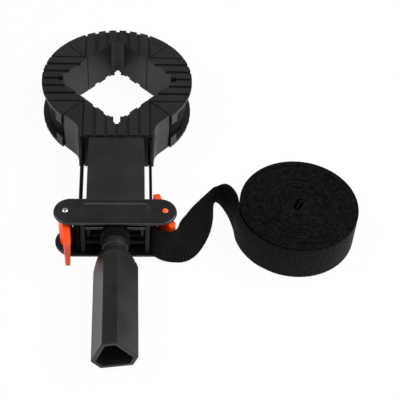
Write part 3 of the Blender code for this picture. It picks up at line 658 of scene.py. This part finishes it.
# %% The tail, row by row
# x, y, z of the lower edge, and how far the upper edge stands off from it in x and y
TAIL = np.array([
    (0.0222, -0.0409, 0.0025, 0.0000, 0.0000), (0.0223, -0.0452, 0.0025, 0.0001, 0.0000),
    (0.0238, -0.0496, 0.0025, 0.0012, 0.0003), (0.0278, -0.0522, 0.0016, 0.0018, 0.0012),
    (0.0325, -0.0534, 0.0008, 0.0019, 0.0030), (0.0370, -0.0538, 0.0005, 0.0012, 0.0076),
    (0.0411, -0.0539, 0.0005, -0.0018, 0.0117), (0.0452, -0.0525, 0.0005, -0.0056, 0.0122),
    (0.0488, -0.0499, 0.0005, -0.0089, 0.0110), (0.0518, -0.0465, 0.0005, -0.0111, 0.0093),
    (0.0542, -0.0427, 0.0005, -0.0124, 0.0075), (0.0563, -0.0388, 0.0005, -0.0127, 0.0059),
    (0.0581, -0.0348, 0.0005, -0.0124, 0.0048), (0.0596, -0.0307, 0.0005, -0.0114, 0.0038),
    (0.0608, -0.0264, 0.0005, -0.0096, 0.0024), (0.0617, -0.0221, 0.0005, -0.0074, 0.0011),
    (0.0623, -0.0177, 0.0005, -0.0049, -0.0003), (0.0626, -0.0133, 0.0005, -0.0025, -0.0018),
    (0.0628, -0.0089, 0.0005, -0.0004, -0.0037), (0.0633, -0.0050, 0.0005, 0.0001, -0.0067),
    (0.0648, -0.0029, 0.0005, -0.0002, -0.0081), (0.0670, -0.0040, 0.0005, -0.0006, -0.0062),
    (0.0690, -0.0070, 0.0005, -0.0008, -0.0029), (0.0706, -0.0102, 0.0005, 0.0003, -0.0003),
    (0.0723, -0.0141, 0.0005, 0.0015, 0.0006), (0.0737, -0.0184, 0.0005, 0.0020, 0.0008),
    (0.0748, -0.0227, 0.0004, 0.0018, 0.0008), (0.0757, -0.0270, 0.0003, 0.0011, 0.0006),
    (0.0762, -0.0312, 0.0001, 0.0004, 0.0002),
])
print("tail rows", len(TAIL))

# %% Sizes of the coil
COIL_CENTRE = np.array([0.1148, -0.0267])
WHOLE_TURNS = 28
# Radii where the tail first touches the coil, where it starts to ease in, and of the spiral
WRAP_RADIUS, COIL_OUTER, COIL_START = 0.0390, 0.0383, 0.0372
# Where the tail first touches, where the spiral starts, and the turn in which the tail eases in
WRAP_TURN, FIRST_TURN = math.radians(192), math.radians(240)
JOIN_TURNS = 0.35
# The slot in the middle: its direction, half its width and half its added length
SLOT_TURN = math.radians(62)
SLOT_HALF, SLOT_STRETCH = 0.0029, 0.0024
# The radius from which the turns are drawn out, over which fall of radius, and how suddenly
SLOT_REACH, SLOT_EASE, SLOT_SNAP = 0.015, 0.012, 2.5
TONGUE_BACK = 0.001
print("coil", WHOLE_TURNS, "turns")


# %% A smooth curve through rows
def through(points, count):
    """A smooth curve through points: between two of them, the Catmull-Rom cubic of the two
    and their neighbours."""
    ends = np.concatenate([2 * points[:1] - points[1:2], points, 2 * points[-1:] - points[-2:-1]])
    t = np.linspace(0, 1, count, endpoint=False)[:, None]
    basis = [-t + 2 * t**2 - t**3, 2 - 5 * t**2 + 3 * t**3, t + 4 * t**2 - 3 * t**3, -t**2 + t**3]
    rows = [0.5 * sum(b * ends[i + k] for k, b in enumerate(basis)) for i in range(len(points) - 1)]
    return np.concatenate(rows + [points[-1:]])


# %% Where the rows of the spiral stand
# The space wanted between two rows, the least and the most turn between them, and the steps in
# which the spiral is measured first
COIL_SPACING = 0.0018
LEAST_STEP, MOST_STEP = math.radians(5), math.radians(14)
FINE_STEPS = 20001


def spiral_radius(turn, last):
    """The radius falls evenly with the turns, once the tail has eased in."""
    fall = (COIL_START - SLOT_HALF) / (last - JOIN_TURNS)
    return COIL_START - fall * np.maximum(turn - JOIN_TURNS, 0)


def spaced_turns(last):
    """The turn of each row. The angle to the next row is the space wanted over the radius, kept
    between its limits, and the rows are counted out by adding up its inverse."""
    fine = np.linspace(0, last, FINE_STEPS)
    step = np.clip(COIL_SPACING / spiral_radius(fine, last), LEAST_STEP, MOST_STEP) / (2 * math.pi)
    count = np.concatenate([[0], np.cumsum(np.diff(fine) / step[1:])])
    return np.interp(np.arange(int(count[-1])) * count[-1] / int(count[-1]), count, fine)


# %% How high the turns stand
# The least height of the lower edge, the mean lift above it, and what one random unit adds
LOWEST, LIFT, UNEVEN = 0.0002, 0.0003, 0.0002
# The random values: their seed, their number, the turn between two of them and their limits
WANDER_SEED, WANDER_COUNT, WANDER_TURNS = 11, 200, 0.16
WANDER_LIMITS = (-1.5, 2.0)


def uneven_height(turn):
    """Random values at even turns, joined by straight lines, which grow in over the first half
    turn. The height wanders between 0.2 and 0.9 mm."""
    wander = np.random.default_rng(WANDER_SEED).normal(0, 1, WANDER_COUNT)
    places = np.arange(WANDER_COUNT) * WANDER_TURNS
    wander = np.clip(np.interp(turn, places, wander), *WANDER_LIMITS)
    return LOWEST + np.clip(turn * 2, 0, 1) * (LIFT + UNEVEN * wander)


# %% The spiral and its folded middle
def coil_rows():
    """The spiral in the frame of the slot. Near the middle the round is drawn out into a slot, by
    a stretch times the tanh of a multiple of the cosine. At the end the band turns back through
    a half circle and lies along the middle of the slot."""
    last = (SLOT_TURN + math.radians(270) - FIRST_TURN) / (2 * math.pi) + WHOLE_TURNS
    turn = spaced_turns(last)
    radius = spiral_radius(turn, last)
    radius += (COIL_OUTER - COIL_START) * np.clip(1 - turn / JOIN_TURNS, 0, 1)
    angle = FIRST_TURN + 2 * math.pi * turn - SLOT_TURN
    drawn = SLOT_STRETCH * np.clip((SLOT_REACH - radius) / SLOT_EASE, 0, 1)
    u = radius * np.cos(angle) + drawn * np.tanh(SLOT_SNAP * np.cos(angle))
    v = radius * np.sin(angle)
    back = np.radians(np.linspace(-90, 90, 9))
    fold = SLOT_HALF / 2
    tongue = np.linspace(SLOT_STRETCH, -SLOT_STRETCH, 5) - TONGUE_BACK
    u = np.concatenate([u, SLOT_STRETCH + fold * np.cos(back), tongue])
    v = np.concatenate([v, -fold + fold * np.sin(back), np.zeros(len(tongue))])
    turn = np.concatenate([turn, np.full(len(back) + len(tongue), last)])
    c, s = math.cos(SLOT_TURN), math.sin(SLOT_TURN)
    x, y = COIL_CENTRE[0] + c * u - s * v, COIL_CENTRE[1] + s * u + c * v
    upright = np.zeros_like(x)
    return np.stack([x, y, uneven_height(turn), upright, upright], 1)


# %% Tail and coil in one strip
WRAP_HEIGHT = 0.0001
wrap = np.linspace(WRAP_TURN, FIRST_TURN, 7)[:-1]
wrap_radius = np.linspace(WRAP_RADIUS, COIL_OUTER, 7)[:-1]
wrap_rows = np.zeros((len(wrap), 5))
wrap_rows[:, 0] = COIL_CENTRE[0] + wrap_radius * np.cos(wrap)
wrap_rows[:, 1] = COIL_CENTRE[1] + wrap_radius * np.sin(wrap)
wrap_rows[:, 2] = WRAP_HEIGHT
loose = through(np.concatenate([TAIL, wrap_rows]), 5)
rows = np.concatenate([loose[:-1], coil_rows()])
lower, aside = rows[:, :3], rows[:, 3:]
upper = lower + np.column_stack([aside, np.sqrt(BAND_WIDTH**2 - (aside**2).sum(1))])
free_end = strip("free_band", lower, upper)
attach(free_end, "yoke")
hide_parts("band_tail", "band_coil")

# %% [markdown]
# ## The floor
# The floor shows white to the camera but keeps a faint shadow, and it lights the object only
# as a pale table would. More light would whiten it too, but it would bleach the clamp, so the
# floor glows for the camera, and a little for what mirrors it.

# %% Kinds of rays
def ray_kinds(finish):
    """Wires that are 1 for rays from the camera, from a mirror and through glass."""
    outputs = finish.node("LightPath").socket.node.outputs
    kinds = ("Is Camera Ray", "Is Glossy Ray", "Is Transmission Ray")
    return [Wire(finish, outputs[kind]) for kind in kinds]


# %% Floor
CAMERA_SHARE = 0.96
MIRROR_SHARE = 0.3
floor_mesh = bpy.data.meshes.new("floor")
floor_mesh.from_pydata([(-3, -3, 0), (3, -3, 0), (3, 3, 0), (-3, 3, 0)], [], [(0, 1, 2, 3)])
floor = bpy.data.objects.new("floor", floor_mesh)
bpy.context.scene.collection.objects.link(floor)
paper = Finish("floor_paper", Base_Color=(0.8, 0.8, 0.8), Roughness=0.9)
glow = paper.node("Emission", values={"Color": (1.0, 1.0, 1.0), "Strength": 1.0})
seen, mirrored, through_glass = ray_kinds(paper)
share = seen * CAMERA_SHARE + (mirrored + through_glass) * MIRROR_SHARE
lit = Wire(paper, paper.shader.outputs[0])
mixed = paper.node("MixShader", values={0: share, 1: lit, 2: glow})
paper.tree.links.new(mixed.socket, paper.tree.nodes["Material Output"].inputs["Surface"])
floor_mesh.materials.append(paper.material)
print("floor glows to the camera at", CAMERA_SHARE)

# %% [markdown]
# ## The room
# Black plastic shows mostly what it mirrors, so what stands round it matters as much as the
# lamps. A picture of a studio could be wrapped round the scene. A fade from a white horizon to a
# dim ceiling needs only a few nodes, and it is the same from every side.

# %% World
ROOM_LIGHT = 0.35
# What the clamp mirrors is white at the horizon and fades to a dim ceiling at this height
CEILING_HEIGHT = 0.55
CEILING = 0.2


class Room(Finish):
    """The world's nodes, written as a finish's are."""

    def __init__(self):
        world = bpy.data.worlds.new("room")
        bpy.context.scene.world = world
        world.use_nodes = True
        self.tree = world.node_tree
        self.shader = self.tree.nodes["Background"]


room = Room()
way = room.node("TexCoord", output=0)
height = room.node("SeparateXYZ", values={0: way}, output=2)
backdrop = room.node("MapRange", {"interpolation_type": "SMOOTHSTEP"}, {
    "Value": height, "From Min": 0.0, "From Max": CEILING_HEIGHT, "To Min": 1.0, "To Max": CEILING})
seen, mirrored, through_glass = ray_kinds(room)
direct = seen.math("MAXIMUM", seen, through_glass)
indirect = mirrored * backdrop + (1 - mirrored) * ROOM_LIGHT
room.shade(Color=(1.0, 1.0, 1.0), Strength=direct + (1 - direct) * indirect)
print("room light", ROOM_LIGHT)

# %% [markdown]
# ## The lamps
# Three soft boxes light the clamp. A sun lamp would be simpler, but its shadows have hard edges.
# The boxes hang high on both sides and in front, so that none of them is mirrored in the flat
# tops when the clamp is looked at from low down.


# %% Lamps
def soft_box(name, place, target, size, power):
    """An area lamp that faces a point. Its size is in metres and its power in watts."""
    lamp = bpy.data.lights.new(name, "AREA")
    lamp.shape = "RECTANGLE"
    lamp.size, lamp.size_y = size
    lamp.energy = power
    holder = bpy.data.objects.new(name, lamp)
    bpy.context.scene.collection.objects.link(holder)
    turn = (Vector(place) - Vector(target)).to_track_quat("Z", "Y")
    holder.matrix_world = Matrix.Translation(place) @ turn.to_matrix().to_4x4()


soft_box("left_box", (-0.7, -0.1, 0.8), (0, 0, 0.02), (0.9, 0.6), 5)
soft_box("right_box", (0.75, -0.05, 0.85), (0, 0, 0.02), (0.9, 0.6), 13)
soft_box("front_box", (0.1, -0.9, 1.0), (0, 0, 0), (0.8, 0.5), 3)
bpy.context.scene.view_settings.view_transform = "Standard"
print("lamps", len(bpy.data.lights))
